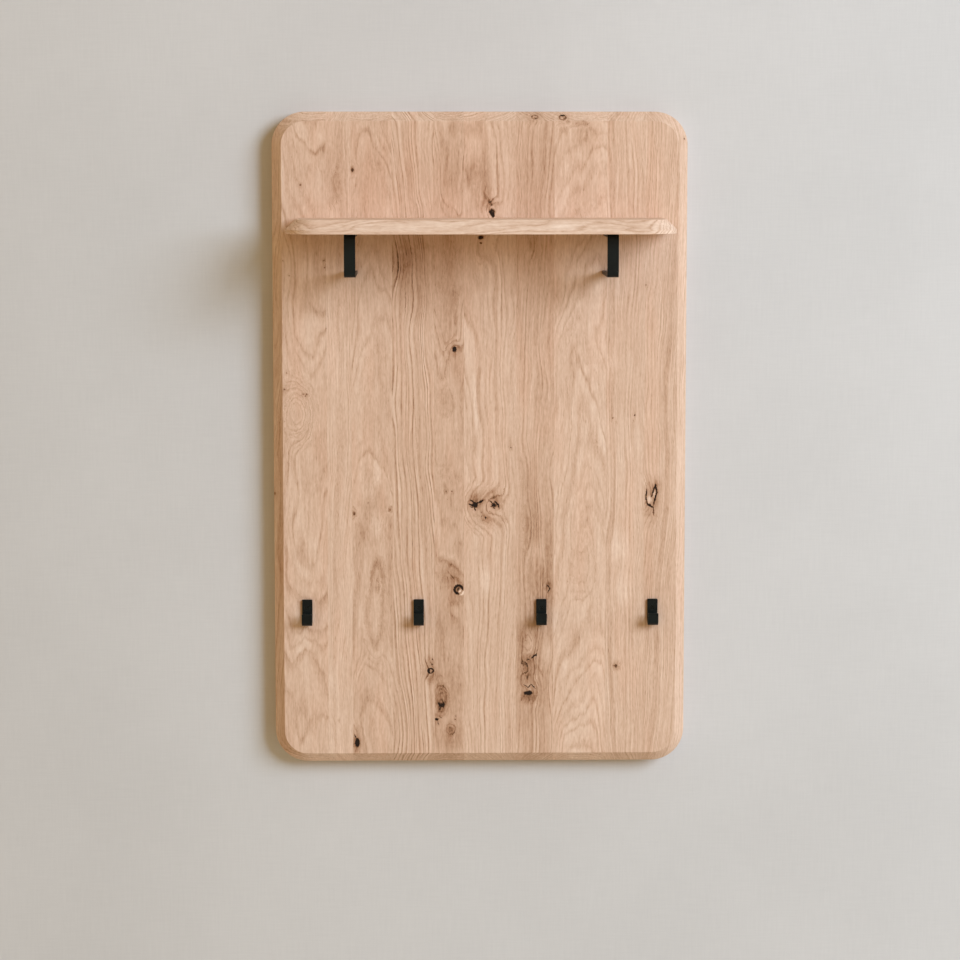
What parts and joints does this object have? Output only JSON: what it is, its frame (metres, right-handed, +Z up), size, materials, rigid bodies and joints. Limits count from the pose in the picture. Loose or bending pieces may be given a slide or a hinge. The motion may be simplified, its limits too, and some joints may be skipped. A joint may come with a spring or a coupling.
{
  "type": "wall key organiser",
  "caption": "Wall-hung bevelled oak board glued from upright staves, with an oak shelf on bent flat-bar brackets and a row of black J-hooks for keys and coats.",
  "frame": {"origin": "centre of the board's back face, on the wall plane", "axes": "+Z up, +Y into the wall, so the front faces -Y; +X to the viewer's right"},
  "size_m": [0.6, 0.19, 0.95],
  "materials": {
    "oak_board": "matt oiled character oak, grain upright",
    "oak_shelf": "matt oiled character oak, grain along the shelf",
    "black_steel": "matt black powder coat",
    "zinc_steel": "bright zinc plate",
    "beech_dowel": "plain turned beech"
  },
  "bodies": {
    "root": {"board_stave_01": "oak_board", "board_stave_02": "oak_board", "board_stave_03": "oak_board", "board_stave_04": "oak_board", "board_stave_05": "oak_board", "board_stave_06": "oak_board", "board_stave_07": "oak_board", "board_stave_08": "oak_board", "board_stave_09": "oak_board", "board_stave_10": "oak_board", "bracket_left": "black_steel", "bracket_nuts": "zinc_steel", "bracket_right": "black_steel", "bracket_screws": "black_steel", "bracket_studs": "zinc_steel", "bracket_washers": "zinc_steel", "hanger_plate_left": "zinc_steel", "hanger_plate_right": "zinc_steel", "hanger_screws": "zinc_steel", "hook_far_left": "black_steel", "hook_far_right": "black_steel", "hook_left": "black_steel", "hook_right": "black_steel", "hook_screws": "black_steel", "shelf_back_screws": "zinc_steel", "shelf_dowels": "beech_dowel", "shelf_stave_back": "oak_shelf", "shelf_stave_front": "oak_shelf", "shelf_stave_middle": "oak_shelf"}
  },
  "joints": []
}
